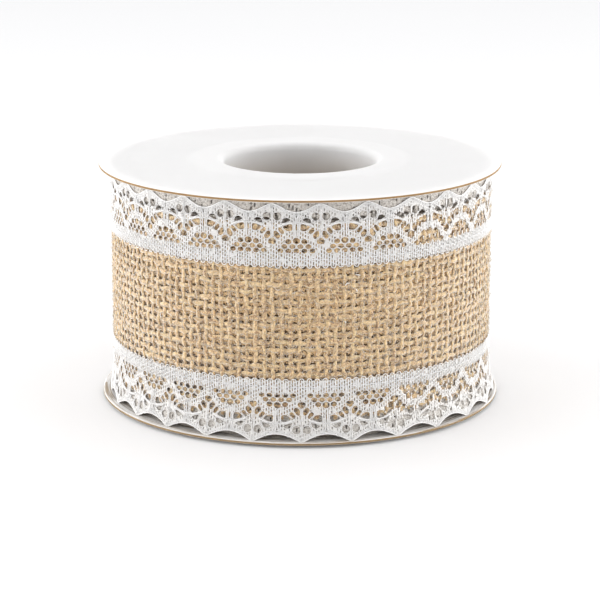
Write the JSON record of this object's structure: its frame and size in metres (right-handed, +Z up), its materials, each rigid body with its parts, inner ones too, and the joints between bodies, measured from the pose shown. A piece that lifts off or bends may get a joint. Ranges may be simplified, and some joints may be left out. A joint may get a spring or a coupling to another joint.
{
  "type": "table runner",
  "caption": "Narrow table runner of open jute burlap edged with white scalloped lace, wound on a flanged white spool with a through bore; its free end peels off the roll.",
  "frame": {"origin": "middle of the face that the spool stands on, on the spool's axis", "axes": "+Z up along the spool's axis, -Y towards the display side, +X where the last wound half turn ends and the free end starts"},
  "size_m": [0.102, 0.102, 0.0606],
  "materials": {
    "spool_plastic": "white high-impact polystyrene, moulded, satin",
    "core_board": "white-lined wound board, matt",
    "mounting_tape": "double-sided tissue tape, matt",
    "jute_burlap": "natural jute, open plain weave, hairy",
    "knitted_lace": "white warp-knitted polyester, scalloped",
    "sewing_thread": "white spun polyester thread, stitched",
    "clear_tape": "clear polypropylene tape, glossy"
  },
  "bodies": {
    "spool": {"lower_flange": "spool_plastic", "upper_flange": "spool_plastic", "core_tube": "core_board", "starter_tape": "mounting_tape", "burlap_roll": "jute_burlap", "lower_lace_roll": "knitted_lace", "upper_lace_roll": "knitted_lace", "lower_seam_roll": "sewing_thread", "upper_seam_roll": "sewing_thread"},
    "free_end": {"burlap_free_end": "jute_burlap", "lower_lace_free_end": "knitted_lace", "upper_lace_free_end": "knitted_lace", "lower_seam_free_end": "sewing_thread", "upper_seam_free_end": "sewing_thread", "holding_tape": "clear_tape"}
  },
  "joints": [
    {"name": "free_end_peel", "type": "hinge", "parent": "spool", "child": "free_end", "pos_m": [0.04908, 0, 0.0303], "axis": [0, 0, -1], "range_deg": [0, 55]}
  ]
}
